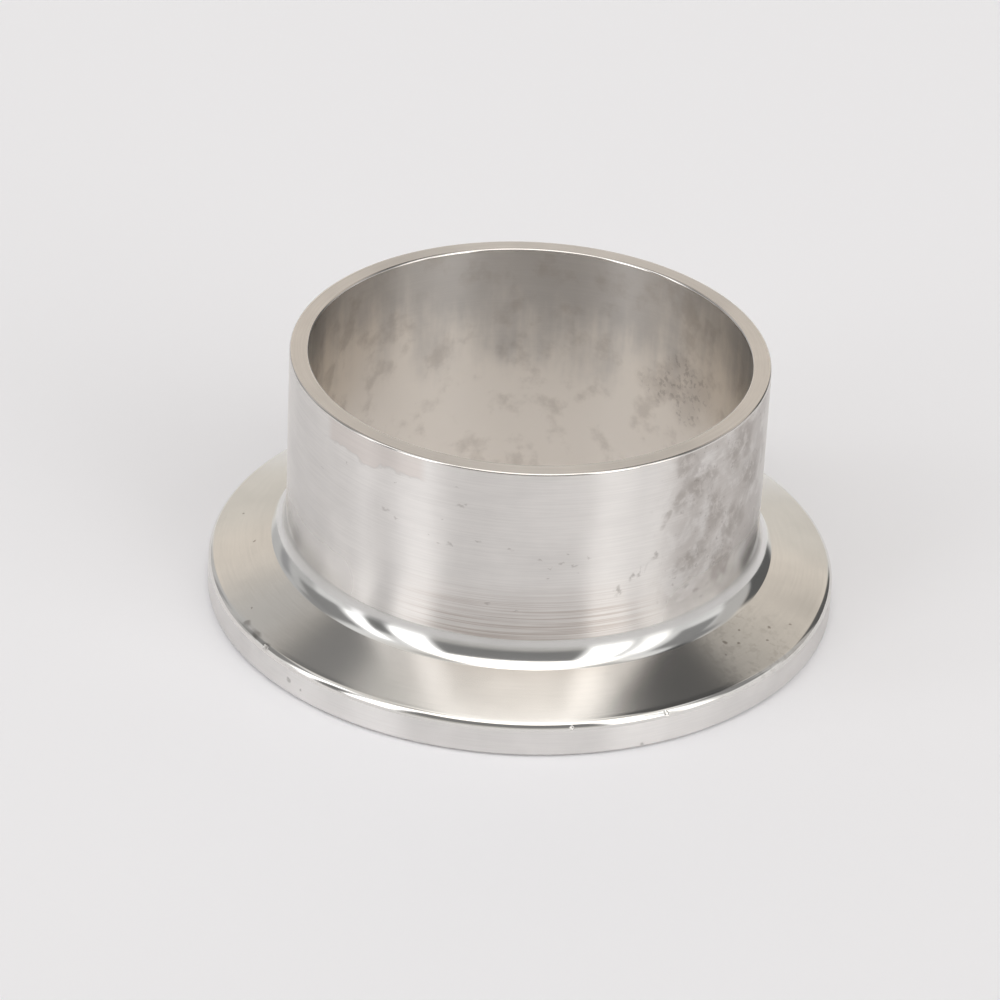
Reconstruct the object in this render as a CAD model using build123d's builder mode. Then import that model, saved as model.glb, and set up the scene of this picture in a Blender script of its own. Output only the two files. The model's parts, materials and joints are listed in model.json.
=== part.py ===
from build123d import *
import math
import os

# Sanitary clamp ferrule, 1.5 inch tube size, turned from one piece of stainless steel.
# Frame: +Z runs along the bore from the clamp face to the weld end.
# The origin is the centre of the clamp face, and the ferrule stands on that face.
# All lengths are in millimetres and all angles in degrees.

# tube
tube_diameter = 38.1
tube_wall = 1.5
overall_length = 21.5
weld_edge_break = 0.2
clamp_bore_edge_break = 0.15

# clamp flange
flange_reach = 6.2
flange_rim_height = 2.85
cone_angle = 20
cone_edge_radius = 0.7
clamp_edge_break = 0.3

# neck, the concave round between the tube and the cone
neck_radius = 2.3
neck_sweep = 60

# gasket groove in the clamp face
rim_land = 1.275
groove_width = 4.45
groove_depth = 1.6
groove_included_angle = 46
groove_corner_radius = 0.8

# radii and heights that follow from the sizes above
tube_radius = tube_diameter / 2
bore_radius = tube_radius - tube_wall
flange_radius = tube_radius + flange_reach
neck_foot_radius = tube_radius + neck_radius * (1 - math.cos(math.radians(neck_sweep)))
cone_rise = (flange_radius - neck_foot_radius) * math.tan(math.radians(cone_angle))
neck_foot_height = flange_rim_height + cone_rise
neck_top_height = neck_foot_height + neck_radius * math.sin(math.radians(neck_sweep))

# The sections are drawn on the XZ plane: sketch X is the radius and sketch Y is the height.

# half section of the tube, neck and flange
with BuildSketch(Plane.XZ) as ferrule_section:
    with BuildLine():
        tube_side = Line((tube_radius, overall_length), (tube_radius, neck_top_height))
        neck = JernArc(start=tube_side @ 1, tangent=(0, -1), radius=neck_radius, arc_size=neck_sweep)
        Polyline(
            neck @ 1,
            (flange_radius, flange_rim_height),
            (flange_radius, 0),
            (bore_radius, 0),
            (bore_radius, overall_length),
            tube_side @ 0,
        )
    make_face()

    # a corner is picked after each cut, because a cut replaces the corners of its outline
    chamfer(ferrule_section.vertices().group_by(Axis.Y)[-1], length=weld_edge_break)
    cone_corner = ferrule_section.vertices().group_by(Axis.X)[-1].sort_by(Axis.Y)[-1]
    fillet(cone_corner, radius=cone_edge_radius)
    clamp_corner = ferrule_section.vertices().group_by(Axis.X)[-1].sort_by(Axis.Y)[0]
    chamfer(clamp_corner, length=clamp_edge_break)
    clamp_bore_corner = ferrule_section.vertices().group_by(Axis.X)[0].sort_by(Axis.Y)[0]
    chamfer(clamp_bore_corner, length=clamp_bore_edge_break)

# half section of the gasket groove, a trapezoid that is widest at the clamp face
groove_outer_radius = flange_radius - rim_land
groove_inner_radius = groove_outer_radius - groove_width
groove_wall_run = groove_depth * math.tan(math.radians(groove_included_angle / 2))

with BuildSketch(Plane.XZ) as groove_section:
    with BuildLine():
        Polyline(
            (groove_inner_radius, 0),
            (groove_outer_radius, 0),
            (groove_outer_radius - groove_wall_run, groove_depth),
            (groove_inner_radius + groove_wall_run, groove_depth),
            close=True,
        )
    make_face()

    floor_corners = groove_section.vertices().group_by(Axis.Y)[-1]
    fillet(floor_corners, radius=groove_corner_radius)

# clamp ferrule
with BuildPart() as clamp_ferrule:
    add(ferrule_section.sketch)
    revolve(axis=Axis.Z)
    add(groove_section.sketch)
    revolve(axis=Axis.Z, mode=Mode.SUBTRACT)

clamp_ferrule.part.label = "clamp_ferrule"

os.makedirs("parts", exist_ok=True)
export_step(clamp_ferrule.part, "parts/clamp_ferrule.step")
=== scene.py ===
import json
import math

import bpy
import numpy as np
from mathutils import Matrix, Vector


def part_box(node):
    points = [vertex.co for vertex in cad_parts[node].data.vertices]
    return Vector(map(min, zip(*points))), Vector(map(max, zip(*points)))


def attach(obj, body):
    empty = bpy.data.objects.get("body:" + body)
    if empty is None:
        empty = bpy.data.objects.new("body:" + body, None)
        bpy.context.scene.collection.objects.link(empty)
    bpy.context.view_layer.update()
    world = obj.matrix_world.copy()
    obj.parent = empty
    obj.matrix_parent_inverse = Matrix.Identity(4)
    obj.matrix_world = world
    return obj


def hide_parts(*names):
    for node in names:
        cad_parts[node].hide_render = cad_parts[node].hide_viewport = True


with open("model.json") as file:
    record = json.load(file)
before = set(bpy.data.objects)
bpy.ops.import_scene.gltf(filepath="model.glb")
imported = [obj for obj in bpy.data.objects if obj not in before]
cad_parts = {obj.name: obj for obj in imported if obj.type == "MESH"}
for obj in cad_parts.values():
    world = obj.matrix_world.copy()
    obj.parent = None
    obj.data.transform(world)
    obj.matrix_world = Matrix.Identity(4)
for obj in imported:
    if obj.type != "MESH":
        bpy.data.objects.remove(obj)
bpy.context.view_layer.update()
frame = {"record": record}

# ---------------------------------------------------------------- sizes, in metres

MM = 0.001
NODE = "clamp_ferrule"

mounts = {m["name"]: m for m in frame["record"]["mounts"]}
box_low, box_high = (Vector(corner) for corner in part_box(NODE))

FLANGE_R = box_high.x
LENGTH = box_high.z
TUBE_R = mounts["tube_outside"]["dims"]["r_mm"] * MM
BORE_R = mounts["bore"]["dims"]["r_mm"] * MM

WELD_EDGE = 0.2 * MM        # round of both weld end edges
BORE_EDGE = 0.15 * MM       # bevel of the bore at the clamp face
CLAMP_EDGE = 0.3 * MM       # bevel of the rim at the clamp face
RIM_HEIGHT = 2.85 * MM      # height where rim and cone would meet if the edge were sharp
CONE_ANGLE = math.radians(20)
CONE_EDGE_R = 0.7 * MM
NECK_R = 2.3 * MM
NECK_SWEEP = math.radians(60)
RIM_LAND = 1.275 * MM
GROOVE_WIDTH = 4.45 * MM
GROOVE_DEPTH = 1.6 * MM
GROOVE_LEAN = math.radians(23)
GROOVE_CORNER_R = 0.8 * MM

NECK_FOOT_R = TUBE_R + NECK_R * (1 - math.cos(NECK_SWEEP))
NECK_FOOT_Z = RIM_HEIGHT + (FLANGE_R - NECK_FOOT_R) * math.tan(CONE_ANGLE)
NECK_TOP_Z = NECK_FOOT_Z + NECK_R * math.sin(NECK_SWEEP)

AROUND = 840                # mesh columns round the axis

# radii in mm, for the materials
WALL_MM = TUBE_R / MM
BORE_MM = BORE_R / MM
RIM_MM = FLANGE_R / MM
CONE_EDGE_MM = RIM_MM - 0.15    # where the nicks sit on the rounded cone edge
WELD_MIDDLE_MM = (WALL_MM + BORE_MM) / 2


# ---------------------------------------------------------------- section of the part

def straight(start, end, count):
    """Points and outward normals along a straight run of the section, as (radius, height) pairs."""
    start, end = np.array(start), np.array(end)
    share = np.linspace(0, 1, count)[:, None]
    along = (end - start) / np.linalg.norm(end - start)
    normal = np.array([along[1], -along[0]])
    return start + share * (end - start), np.repeat(normal[None], count, 0)


def arc(centre, radius, first, last, count, hollow=False):
    """Points and outward normals along a round; angles are the normals' heights over the horizontal."""
    angle = np.linspace(first, last, count)[:, None]
    normal = np.hstack([np.cos(angle), np.sin(angle)])
    return np.array(centre) + (-radius if hollow else radius) * normal, normal


def section():
    """Name, points and normals of each run of the closed section, anticlockwise from the clamp face."""
    up, flat, down = math.pi / 2, 0.0, -math.pi / 2
    cone_normal = math.pi / 2 - CONE_ANGLE
    edge_z = RIM_HEIGHT - CONE_EDGE_R * math.tan(cone_normal / 2)
    edge_r = FLANGE_R - CONE_EDGE_R
    cone_end = (edge_r + CONE_EDGE_R * math.cos(cone_normal), edge_z + CONE_EDGE_R * math.sin(cone_normal))
    groove_out = FLANGE_R - RIM_LAND
    groove_in = groove_out - GROOVE_WIDTH
    setback = GROOVE_CORNER_R * math.tan((math.pi / 2 - GROOVE_LEAN) / 2)
    floor_out = groove_out - GROOVE_DEPTH * math.tan(GROOVE_LEAN) - setback
    floor_in = groove_in + GROOVE_DEPTH * math.tan(GROOVE_LEAN) + setback
    corner_z = GROOVE_DEPTH - GROOVE_CORNER_R
    out_wall_top = (floor_out + GROOVE_CORNER_R * math.cos(GROOVE_LEAN),
                    corner_z + GROOVE_CORNER_R * math.sin(GROOVE_LEAN))
    in_wall_top = (floor_in - GROOVE_CORNER_R * math.cos(GROOVE_LEAN), out_wall_top[1])
    return [
        ("clamp_face", *straight((groove_out, 0), (FLANGE_R - CLAMP_EDGE, 0), 3)),
        ("rim", *straight((FLANGE_R - CLAMP_EDGE, 0), (FLANGE_R, CLAMP_EDGE), 3)),
        ("rim", *straight((FLANGE_R, CLAMP_EDGE), (FLANGE_R, edge_z), 8)),
        ("cone", *arc((edge_r, edge_z), CONE_EDGE_R, flat, cone_normal, 12)),
        ("cone", *straight(cone_end, (NECK_FOOT_R, NECK_FOOT_Z), 12)),
        ("neck", *arc((TUBE_R + NECK_R, NECK_TOP_Z), NECK_R, NECK_SWEEP, flat, 14, hollow=True)),
        ("wall", *straight((TUBE_R, NECK_TOP_Z), (TUBE_R, LENGTH - WELD_EDGE), 14)),
        ("weld_face", *arc((TUBE_R - WELD_EDGE, LENGTH - WELD_EDGE), WELD_EDGE, flat, up, 6)),
        ("weld_face", *straight((TUBE_R - WELD_EDGE, LENGTH), (BORE_R + WELD_EDGE, LENGTH), 4)),
        ("weld_face", *arc((BORE_R + WELD_EDGE, LENGTH - WELD_EDGE), WELD_EDGE, up, math.pi, 6)),
        ("bore", *straight((BORE_R, LENGTH - WELD_EDGE), (BORE_R, BORE_EDGE), 10)),
        ("clamp_face", *straight((BORE_R, BORE_EDGE), (BORE_R + BORE_EDGE, 0), 2)),
        ("clamp_face", *straight((BORE_R + BORE_EDGE, 0), (groove_in, 0), 3)),
        ("clamp_face", *straight((groove_in, 0), in_wall_top, 3)),
        ("clamp_face", *arc((floor_in, corner_z), -GROOVE_CORNER_R, -GROOVE_LEAN, down, 5)),
        ("clamp_face", *straight((floor_in, GROOVE_DEPTH), (floor_out, GROOVE_DEPTH), 3)),
        ("clamp_face", *arc((floor_out, corner_z), -GROOVE_CORNER_R, down, -math.pi + GROOVE_LEAN, 5)),
        ("clamp_face", *straight(out_wall_top, (groove_out, 0), 3)),
    ]


# ---------------------------------------------------------------- the piece

ZONES = ["wall", "neck", "cone", "rim", "weld_face", "bore", "clamp_face"]


def turned_piece(name, runs, around):
    """A closed mesh turned from the section; each run has its true normals, so creases stay crisp."""
    theta = np.linspace(0, 2 * math.pi, around, endpoint=False)
    cos, sin = np.cos(theta), np.sin(theta)
    vertices, faces, normals, zones = [], [], [], []
    first_of_run = []
    for zone, points, normal in runs:
        first_of_run.append(len(vertices))
        vertices.extend(points[:-1])
    rings = len(vertices)
    for (zone, points, normal), first in zip(runs, first_of_run):
        for step in range(len(points) - 1):
            low, high = first + step, (first + step + 1) % rings
            faces.append((low, high))
            normals.append((normal[step], normal[step + 1]))
            zones.append(ZONES.index(zone))
    profile = np.array(vertices)
    co = np.stack([profile[:, :1] * cos, profile[:, :1] * sin, np.repeat(profile[:, 1:], around, 1)], 2)
    column = np.arange(around)
    following = (column + 1) % around
    quads, corner_normals, material = [], [], []
    for (low, high), (n_low, n_high), zone in zip(faces, normals, zones):
        quads.append(np.stack([low * around + column, low * around + following,
                               high * around + following, high * around + column], 1))
        ends = [(n_low, column), (n_low, following), (n_high, following), (n_high, column)]
        corner_normals.append(np.stack(
            [np.stack([n[0] * cos[c], n[0] * sin[c], np.full(around, n[1])], 1) for n, c in ends], 1))
        material += [zone] * around
    quads = np.concatenate(quads)
    mesh = bpy.data.meshes.new(name)
    mesh.from_pydata(co.reshape(-1, 3).tolist(), [], quads.tolist())
    mesh.polygons.foreach_set("material_index", material)
    mesh.polygons.foreach_set("use_smooth", [True] * len(quads))
    mesh.normals_split_custom_set(np.concatenate(corner_normals).reshape(-1, 3).tolist())
    piece = bpy.data.objects.new(name, mesh)
    bpy.context.collection.objects.link(piece)
    return piece


# ---------------------------------------------------------------- materials

def on_part(bearing, radius, height):
    """The point in mm at a bearing in degrees from the camera side, a radius and a height in mm."""
    turn = math.radians(bearing)
    return Vector((radius * math.sin(turn), -radius * math.cos(turn), height))


class Nodes:
    """Short calls for building a node tree."""

    def __init__(self, tree):
        self.tree = tree
        tree.nodes.clear()

    def add(self, kind, values=None, out=0, **settings):
        node = self.tree.nodes.new(kind)
        for key, value in settings.items():
            setattr(node, key, value)
        for key, value in (values or {}).items():
            if isinstance(value, bpy.types.NodeSocket):
                self.tree.links.new(value, node.inputs[key])
            else:
                node.inputs[key].default_value = value
        return node.outputs[out] if node.outputs else None

    def math(self, operation, a, b=0.0):
        return self.add("ShaderNodeMath", {0: a, 1: b}, operation=operation)

    def vector(self, operation, a, b, out=0):
        return self.add("ShaderNodeVectorMath", {0: a, 1: b}, out=out, operation=operation)

    def combine(self, x, y, z):
        return self.add("ShaderNodeCombineXYZ", {0: x, 1: y, 2: z})

    def step(self, value, low, high, start=0.0, end=1.0):
        """start below low, end above high, smooth between."""
        return self.add("ShaderNodeMapRange",
                        {"Value": value, "From Min": low, "From Max": high, "To Min": start, "To Max": end},
                        interpolation_type="SMOOTHSTEP")

    def band(self, value, low, high, soft):
        """1 between low and high, 0 outside, with soft ends."""
        rise = self.step(value, low - soft, low + soft)
        fall = self.step(value, high + soft, high - soft)
        return self.times(rise, fall)

    def noise(self, place, scale, detail=2.0, roughness=0.5, distortion=0.0):
        return self.add("ShaderNodeTexNoise", {"Vector": place, "Scale": scale, "Detail": detail,
                                               "Roughness": roughness, "Distortion": distortion})

    def times(self, a, b):
        return self.math("MULTIPLY", a, b)

    def mix(self, share, a, b, blend="MIX"):
        node = self.tree.nodes.new("ShaderNodeMix")
        node.data_type = "RGBA"
        node.blend_type = blend
        for key, value in ((0, share), (6, a), (7, b)):
            if isinstance(value, bpy.types.NodeSocket):
                self.tree.links.new(value, node.inputs[key])
            else:
                node.inputs[key].default_value = value
        return node.outputs[2]


class Surface(Nodes):
    """A node tree that knows where on the part a point lies: place and radius in mm, bearing in degrees."""

    def __init__(self, tree):
        super().__init__(tree)
        here = self.add("ShaderNodeTexCoord", out="Object")
        self.place = self.vector("MULTIPLY", here, (1 / MM, 1 / MM, 1 / MM))
        self.x, self.y, self.z = (
            self.add("ShaderNodeSeparateXYZ", {0: self.place}, out=axis) for axis in range(3))
        x_square = self.times(self.x, self.x)
        y_square = self.times(self.y, self.y)
        self.radius = self.math("SQRT", self.math("ADD", x_square, y_square))
        toward = self.math("ARCTAN2", self.x, self.times(self.y, -1.0))
        self.bearing = self.times(toward, 180 / math.pi)

    def turning(self, fineness, along=0.2, detail=3.0):
        """Noise drawn out round the axis, as the marks of turning and polishing are."""
        across = self.math("SUBTRACT", self.z, self.radius)
        drawn = self.combine(
            self.times(self.x, along), self.times(self.y, along), self.times(across, fineness))
        return self.noise(drawn, 1.0, detail, 0.6)

    def shaken(self, ragged, grain, detail):
        """The place, moved about by noise, which makes the outline of a mark ragged."""
        values = {"Vector": self.place, "Scale": grain, "Detail": detail}
        shake = self.add("ShaderNodeTexNoise", values, out=1)
        centred = self.vector("SUBTRACT", shake, (0.5, 0.5, 0.5))
        return self.vector("ADD", self.place, self.vector("MULTIPLY", centred, (ragged, ragged, ragged)))

    def streak(self, start, end, width, ragged=0.5, grain=1.6):
        """1 along a ragged line between two places, each a bearing, radius and height."""
        ends = [on_part(*place) for place in (start, end)]
        run = ends[1] - ends[0]
        away = self.vector("SUBTRACT", self.shaken(ragged, grain, 4.0), tuple(ends[0]))
        share = self.vector("DOT_PRODUCT", away, tuple(run / run.length_squared), out=1)
        share = self.step(share, 0.0, 1.0)
        nearest = self.vector("MULTIPLY", self.combine(share, share, share), tuple(run))
        return self.step(self.vector("DISTANCE", away, nearest, out=1), width, width * 0.3)

    def spots(self, radius, places, flat=1.0, ragged=0.5, grain=1.2, soft=0.35):
        """1 inside ragged patches, each a bearing, height and size, on a radius or function of height."""
        place = self.vector("MULTIPLY", self.shaken(ragged, grain, 3.0), (1.0, 1.0, flat))
        total = 0.0
        for bearing, height, size in places:
            centre = on_part(bearing, radius(height) if callable(radius) else radius, height)
            centre.z *= flat
            far = self.vector("DISTANCE", place, tuple(centre), out=1)
            total = self.math("MAXIMUM", total, self.step(far, size * (1 + soft), size * (1 - soft)))
        return total


def srgb(red, green, blue):
    """A colour given as 0 to 255 screen values, as the linear colour that Blender takes."""
    linear = [c / 255 / 12.92 if c / 255 <= 0.04045 else ((c / 255 + 0.055) / 1.055) ** 2.4
              for c in (red, green, blue)]
    return (*linear, 1.0)


def grey(level):
    return (level, level, level, 1.0)


# Marks on the outside wall: bearing in degrees from the camera side, height and size in mm.
WALL_PITS = [
    (-7.5, 9.8, 0.22), (-55.5, 16.3, 0.13), (-46, 18.3, 0.1), (-31, 18.6, 0.12), (-33.5, 15.9, 0.3),
    (-30.5, 15.5, 0.18), (-14.5, 18.1, 0.3), (-13, 18.3, 0.15), (-15.5, 19.6, 0.14), (-18.5, 16.6, 0.15),
    (-19.5, 14.4, 0.17), (-16.5, 14.5, 0.22), (-22, 14.9, 0.1), (-10, 15.2, 0.2), (-2.5, 14.8, 0.2),
    (-0.5, 9.3, 0.14), (6.5, 12.3, 0.16), (4.5, 13.9, 0.2), (7, 13.2, 0.14), (9.5, 13.6, 0.18),
    (12.5, 13.4, 0.22), (13.5, 12.6, 0.12), (11, 14.5, 0.16), (16, 14, 0.15), (46.5, 8.4, 0.25),
    (43, 9.2, 0.28), (48.5, 7.6, 0.22), (50.5, 8.5, 0.16), (39, 10.4, 0.14), (56, 11, 0.14),
]
WALL_SMUDGES = [
    (45.5, 18.5, 1.7), (38.5, 17.2, 1.2), (51.5, 14.6, 1.6), (62, 19.4, 1.9), (67.5, 16, 1.8),
    (60, 12.7, 1.6), (45, 11.7, 1.3), (55, 9.9, 1.5), (41, 20.4, 1.1), (33, 16.3, 0.6),
]
# Marks on the flange: bearing, height on the cone or rim, size.
CONE_SPECKS = [
    (49.5, 4.22, 0.16), (52, 4.0, 0.1), (55, 4.3, 0.1), (47, 3.9, 0.08), (61.5, 3.82, 0.13),
    (66, 3.45, 0.12), (58, 3.6, 0.08), (-84, 4.2, 0.12), (-97, 3.7, 0.1), (-62, 3.4, 0.08),
]
EDGE_NICKS = [(-51, 2.55, 0.3), (10.5, 2.6, 0.14), (28, 2.75, 0.16)]
RIM_NICKS = [(23.5, 0.4, 0.16), (-44, 1.4, 0.2), (-41, 1.1, 0.12)]
BORE_STAIN = [(129, 12.6, 1.7), (134, 13.6, 1.3), (138, 12.2, 1.6), (132, 10.4, 1.4), (143, 11.2, 1.3)]


def finish(name, colour, roughness, anisotropic, lines, wear_and_painted_light=None):
    """Turned steel: marks round the axis, cloudy polish, and the zone's own wear on top, which on the neck
    and in the bore also holds painted shade and light.
    """
    material = bpy.data.materials.new(name)
    material.use_nodes = True
    n = Surface(material.node_tree)
    marks = n.turning(9.0, 0.25)
    cloud = n.noise(n.place, 0.16, 3.0, 0.55)
    lined = n.step(marks, 0.3, 0.7, 1 - lines, 1 + lines)
    tone = n.math("ADD", lined, n.step(cloud, 0.3, 0.7, -0.04, 0.04))
    shade = n.mix(1.0, colour, n.combine(tone, tone, tone), "MULTIPLY")
    rough = n.math("ADD", roughness, n.step(cloud, 0.3, 0.7, 0.012, -0.012))
    height = n.times(marks, lines)
    if wear_and_painted_light:
        shade, rough, height = wear_and_painted_light(n, shade, rough, height)
    normal = n.add("ShaderNodeBump", {"Height": height, "Distance": 0.01 * MM, "Strength": 1.0})
    tangent = n.add("ShaderNodeTangent", direction_type="RADIAL", axis="Z")
    shader = n.add("ShaderNodeBsdfPrincipled",
                   {"Base Color": shade, "Metallic": 1.0, "Roughness": rough, "Normal": normal,
                    "Anisotropic": anisotropic, "Anisotropic Rotation": 0.25, "Tangent": tangent})
    n.add("ShaderNodeOutputMaterial", {"Surface": shader})
    return material


def wall_wear(n, shade, rough, height):
    """Pits, smudges, a scratch, a tide mark, brown turning marks in front and film on the right."""
    # a smoother foot at both sides
    sides = n.math("ADD", n.step(n.bearing, 34, 46), n.step(n.bearing, -41, -54))
    rough = n.math("SUBTRACT", rough, n.times(sides, n.step(n.z, 10.5, 7.2, 0.0, 0.15)))
    # brown turning marks low in front
    low = n.times(n.band(n.bearing, -24, 30, 12), n.step(n.z, 12.5, 8))
    fine = n.turning(10.0, 0.06, 2.0)
    groove = n.times(low, n.step(fine, 0.42, 0.62))
    shade = n.mix(n.times(groove, 0.42), shade, srgb(160, 138, 124))
    shade = n.mix(n.times(low, 0.06), shade, srgb(190, 168, 154))
    height = n.math("SUBTRACT", height, n.times(groove, 0.08))
    # tide mark
    ragged = n.noise(n.place, 0.6, 3.0)
    edge = n.math("ADD", n.z, n.step(ragged, 0.2, 0.8, -0.5, 0.5))
    stain = n.times(n.step(edge, 19.3, 19.5), n.band(n.bearing, -52.5, -24, 1.5))
    rim = n.times(n.band(edge, 19.25, 19.45, 0.1), n.band(n.bearing, -53, -24, 3.0))
    shade = n.mix(n.times(stain, 0.3), shade, srgb(205, 188, 178))
    shade = n.mix(n.times(rim, 0.16), shade, srgb(130, 120, 112))
    # cloudy film and smudges on the right
    cloud = n.noise(n.place, 0.38, 5.0, 0.62, 0.4)
    side = n.times(n.band(n.bearing, 36, 80, 7), n.step(n.z, 6.5, 8.5, 0.3, 1.0))
    film = n.times(side, n.step(cloud, 0.36, 0.56, 0.25, 1.0))
    shade = n.mix(n.times(film, 0.42), shade, srgb(168, 158, 150))
    patches = n.spots(WALL_MM, WALL_SMUDGES, ragged=4.5, grain=0.4, soft=0.45)
    mottle = n.noise(n.place, 0.9, 5.0, 0.7, 0.3)
    patches = n.times(patches, n.step(mottle, 0.34, 0.56))
    shade = n.mix(n.times(patches, 0.42), shade, srgb(142, 132, 124))
    grime = n.times(side, n.step(n.noise(n.place, 1.7, 4.0, 0.7), 0.6, 0.68))
    shade = n.mix(n.times(grime, 0.3), shade, srgb(120, 108, 100))
    scratch = n.streak((33, WALL_MM, 13.1), (23.5, WALL_MM, 10.6), 0.5, 1.0, 1.2)
    scratch = n.times(scratch, n.step(n.noise(n.place, 1.6, 4.0, 0.7), 0.42, 0.6))
    shade = n.mix(n.times(scratch, 0.5), shade, srgb(130, 122, 116))
    # pits
    pits = n.spots(WALL_MM, WALL_PITS, flat=2.4, ragged=0.7, grain=2.5, soft=0.7)
    shade = n.mix(n.times(pits, 0.3), shade, srgb(120, 108, 100))
    height = n.math("SUBTRACT", height, n.times(pits, 0.1))
    return shade, rough, height


def neck_roughness_and_painted_shade(n, shade, rough, height):
    """The top of the neck is rougher than its foot, and painted shade makes it a little darker, all the way
    round.
    """
    rough = n.math("ADD", rough, n.step(n.z, 5.2, 6.4, 0.0, 0.12))
    # painted shade: the top of the neck is darkened a little in colour, all the way round
    shade = n.mix(n.step(n.z, 5.3, 5.9, 0.0, 0.14), shade, grey(0.0))
    return shade, rough, height


def bore_film_stain_and_painted_light(n, shade, rough, height):
    """A light cloudy film over the lower bore, higher at both sides. It is partly a real film and partly
    painted light, and it leaves the bore above it in painted shade. A speckled stain sits at the back right.
    """
    cloud = n.noise(n.vector("MULTIPLY", n.place, (1.0, 1.0, 0.7)), 0.22, 4.0, 0.6)
    drips = n.noise(n.vector("MULTIPLY", n.place, (1.0, 1.0, 0.12)), 0.55, 3.0, 0.6)
    cloud = n.math("ADD", n.times(cloud, 0.6), n.times(drips, 0.4))
    side = n.step(n.math("ABSOLUTE", n.x), 4, 15, 0.0, 4.0)
    level = n.math("SUBTRACT", n.math("ADD", 13.0, side), n.z)
    ragged_level = n.math("ADD", n.times(level, 0.05), n.math("SUBTRACT", cloud, 0.5))
    film = n.step(ragged_level, -0.26, 0.26)
    blot = n.noise(n.place, 0.35, 4.0, 0.6)
    # partly a real milky film, partly painted light: the lower bore is lighter than the upper bore, which is
    # in painted shade
    shade = n.mix(film, shade, srgb(246, 240, 232))
    shade = n.mix(n.step(blot, 0.5, 0.7, 0.0, 0.3), shade, srgb(165, 155, 146))
    rough = n.math("SUBTRACT", rough, n.times(film, 0.03))
    stain = n.spots(BORE_MM, BORE_STAIN, ragged=2.5, grain=0.5, soft=0.7)
    speckle = n.step(n.noise(n.place, 1.8, 3.0, 0.6), 0.52, 0.62)
    shade = n.mix(n.times(stain, 0.16), shade, srgb(110, 92, 80))
    shade = n.mix(n.times(n.times(stain, speckle), 0.28), shade, srgb(95, 80, 72))
    return shade, rough, height


def cone_height_radius(height):
    """Radius in mm of the flange's back at a height in mm."""
    return (FLANGE_R - (height * MM - RIM_HEIGHT) / math.tan(CONE_ANGLE)) / MM


def cone_wear(n, shade, rough, height):
    """Burnished outer edge with nicks, a dark smear beside one, specks and, on the right, a dull patch."""
    rough = n.math("ADD", rough, n.step(n.radius, 24.45, 24.75, 0.0, -0.08))
    specks = n.spots(cone_height_radius, CONE_SPECKS, ragged=0.4, grain=2.5, soft=0.6)
    shade = n.mix(n.times(specks, 0.6), shade, srgb(110, 98, 86))
    grain = n.step(n.noise(n.place, 1.1, 4.0, 0.7), 0.5, 0.62)
    dull = n.times(n.band(n.bearing, 42, 64, 8), grain)
    shade = n.mix(n.times(dull, 0.14), shade, srgb(120, 112, 100))
    smear = n.streak((-59, 24.75, 3.03), (-51, 25.0, 2.8), 0.42, 0.4, 1.6)
    shade = n.mix(n.times(smear, 0.5), shade, srgb(105, 98, 90))
    nicks = n.spots(CONE_EDGE_MM, EDGE_NICKS, ragged=0.3, grain=3.0, soft=0.5)
    return shade, rough, n.math("SUBTRACT", height, n.times(nicks, 6.0))


def rim_wear(n, shade, rough, height):
    """A few small nicks."""
    nicks = n.spots(RIM_MM, RIM_NICKS, ragged=0.3, grain=3.0, soft=0.5)
    shade = n.mix(n.times(nicks, 0.4), shade, srgb(110, 104, 98))
    return shade, rough, n.math("SUBTRACT", height, n.times(nicks, 2.0))


def weld_wear(n, shade, rough, height):
    """Both edges are broken smooth and shine more than the sawn face."""
    edge = n.step(n.math("ABSOLUTE", n.math("SUBTRACT", n.radius, WELD_MIDDLE_MM)), 0.5, 0.62)
    rough = n.math("SUBTRACT", rough, n.times(edge, 0.2))
    return shade, rough, height


# ---------------------------------------------------------------- studio

# Windows of the surroundings, laid over each other in this order: left, right, low and high edge in degrees
# (bearing 0 faces the camera, heights over the horizon), softness of the sides, softness of the ends, light.
PANELS = [
    (-58, 66, 52, 86, 6, 1.5, (2.05, 2.0, 1.93)),
    (-125, -64, 58, 76, 3, 4, (0.8, 0.78, 0.75)),
    (-84, -60, 64, 79, 4, 3, (0.5, 0.49, 0.47)),
    (70, 125, 64, 76, 3, 4, (0.6, 0.59, 0.57)),
    (52, 62, 64, 79, 3, 3, (1.3, 1.27, 1.22)),
    (-165, -128, 60, 70, 3, 3, (0.6, 0.59, 0.57)),
    (-148, -103, -8, 46, 3, 6, (0.55, 0.55, 0.55)),
    (-134, -125, 2, 26, 3, 4, (0.36, 0.36, 0.37)),
    (-116, -88, 16, 47, 3, 4, (0.28, 0.28, 0.28)),
    (-126, -112, 33, 47, 3, 3, (0.32, 0.32, 0.32)),
    (104, 124, -6, 44, 3, 6, (0.52, 0.51, 0.5)),
    (79, 103, 18, 52, 3, 4, (0.28, 0.28, 0.28)),
    (100, 116, 38, 54, 3, 4, (0.26, 0.26, 0.26)),
    (124, 149, -4, 31, 3, 4, (0.12, 0.12, 0.12)),
    (-84, -72, 15, 52, 3, 3, (2.0, 2.0, 2.02)),
    (-79, -72, -2, 15, 2, 3, (1.5, 1.5, 1.52)),
    (-72, -61, 6, 36, 2, 6, (0.2, 0.2, 0.2)),
    (-69, -58, -9, 6, 2, 6, (0.3, 0.3, 0.3)),
    (-59, -41, 5, 56, 2, 6, (2.3, 2.3, 2.32)),
    (34, 53, 5, 56, 2, 6, (2.3, 2.28, 2.25)),
    (59, 72, 2, 50, 3, 6, (1.8, 1.78, 1.75)),
    (-38, 31, -20, 50, 2, 2, (0.24, 0.24, 0.24)),
    (-38, 31, -30, 13, 2, 4, (0.6, 0.59, 0.57)),
    (-160, -128, 49, 61, 3, 3, (0.2, 0.2, 0.2)),
    (104, 160, 51, 69, 3, 3, (0.09, 0.09, 0.09)),
]


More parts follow.
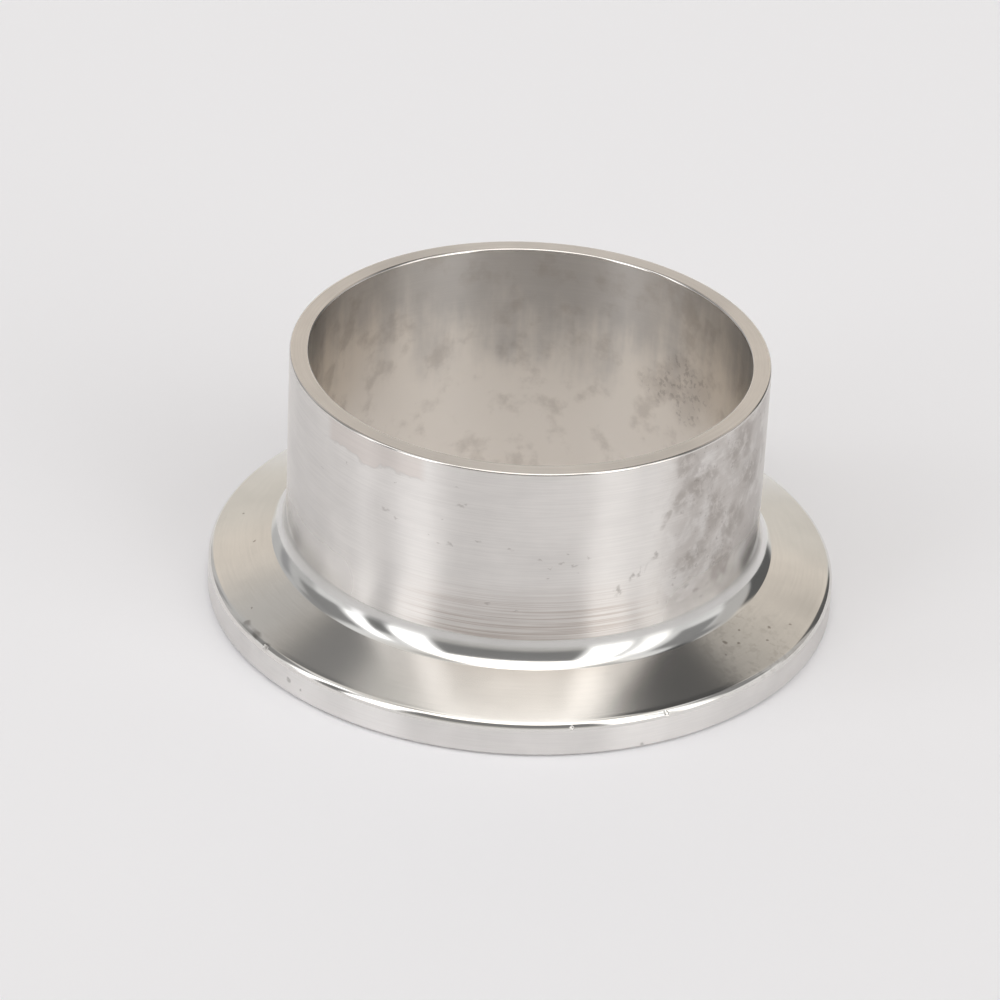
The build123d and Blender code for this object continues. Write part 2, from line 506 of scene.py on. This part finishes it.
def studio_world():
    """Soft light from all round, bright tall panels beside the camera, dark room between and behind."""
    world = bpy.data.worlds.new("studio")
    world.use_nodes = True
    n = Nodes(world.node_tree)
    direction = n.add("ShaderNodeTexCoord", out="Generated")
    x, y, z = (n.add("ShaderNodeSeparateXYZ", {0: direction}, out=axis) for axis in range(3))
    height = n.times(n.math("ARCSINE", z), 180 / math.pi)
    bearing = n.times(n.math("ARCTAN2", x, n.times(y, -1.0)), 180 / math.pi)

    back = n.step(n.math("ABSOLUTE", bearing), 112, 128)
    light = grey(0.86)
    light = n.mix(n.times(back, n.step(height, 12, 20)), light, (0.78, 0.72, 0.65, 1))
    light = n.mix(n.times(back, n.step(height, 26, 54)), light, (0.42, 0.4, 0.37, 1))
    light = n.mix(n.step(height, 56, 66), light, (1.25, 1.22, 1.18, 1))
    beside_back = n.band(n.math("ABSOLUTE", bearing), 150, 168, 4)
    round_back = n.times(beside_back, n.band(height, 3, 20, 4))
    light = n.mix(round_back, light, (0.7, 0.67, 0.62, 1))
    for left, right, low, high, soft, soft_ends, colour in PANELS:
        window = n.times(n.band(bearing, left, right, soft), n.band(height, low, high, soft_ends))
        light = n.mix(window, light, (*colour, 1))
    background = n.add("ShaderNodeBackground", {"Color": light, "Strength": 1.0})
    n.add("ShaderNodeOutputWorld", {"Surface": background})
    bpy.context.scene.world = world


def floor():
    half = 4.0      # metres
    corners = [(-half, -half, 0), (half, -half, 0), (half, half, 0), (-half, half, 0)]
    mesh = bpy.data.meshes.new("floor")
    mesh.from_pydata(corners, [], [(0, 1, 2, 3)])
    piece = bpy.data.objects.new("floor", mesh)
    bpy.context.collection.objects.link(piece)
    piece.location.z = box_low.z
    material = bpy.data.materials.new("floor")
    material.use_nodes = True
    n = Nodes(material.node_tree)
    shader = n.add("ShaderNodeBsdfPrincipled", {"Base Color": srgb(241, 241, 244), "Roughness": 0.9})
    n.add("ShaderNodeOutputMaterial", {"Surface": shader})
    mesh.materials.append(material)


def camera():
    """At the photograph's viewing angle: about 31 degrees up, with a slight roll."""
    data = bpy.data.cameras.new("camera")
    data.sensor_width = 36
    data.lens = 167.2
    eye_height = math.radians(30.64)
    distance = 373.5 * MM
    roll = math.radians(2.715)
    pivot_z = 8 * MM        # height on the axis that the eye's distance and height are measured from
    eye = Vector((0, -distance * math.cos(eye_height), distance * math.sin(eye_height) + pivot_z))
    target = Vector((-1.879, 0, 7.833)) * MM
    piece = bpy.data.objects.new("camera", data)
    bpy.context.collection.objects.link(piece)
    turn = (target - eye).to_track_quat("-Z", "Y").to_matrix().to_4x4()
    piece.matrix_world = Matrix.Translation(eye) @ turn @ Matrix.Rotation(roll, 4, "Z")
    bpy.context.scene.camera = piece


piece = turned_piece("turned_ferrule", section(), AROUND)
finishes = {
    "wall": finish("wall", (0.81, 0.785, 0.76, 1), 0.29, 1.0, 0.03, wall_wear),
    "neck": finish("neck", (0.78, 0.77, 0.75, 1), 0.1, 0.8, 0.015, neck_roughness_and_painted_shade),
    "cone": finish("cone", (0.78, 0.76, 0.73, 1), 0.17, 0.5, 0.02, cone_wear),
    "rim": finish("rim", (0.82, 0.8, 0.78, 1), 0.29, 1.0, 0.02, rim_wear),
    "weld_face": finish("weld_face", (0.72, 0.69, 0.66, 1), 0.31, 0.8, 0.03, weld_wear),
    # the bore's dark base colour is partly its duller pickled finish and partly painted shade on the upper
    # bore
    "bore": finish("bore", (0.59, 0.57, 0.55, 1), 0.35, 0.9, 0.02, bore_film_stain_and_painted_light),
    "clamp_face": finish("clamp_face", (0.74, 0.72, 0.7, 1), 0.3, 0.8, 0.03),
}
for zone in ZONES:
    piece.data.materials.append(finishes[zone])
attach(piece, "root")
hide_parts(NODE)

studio_world()
floor()
camera()
bpy.context.scene.view_settings.view_transform = "Standard"
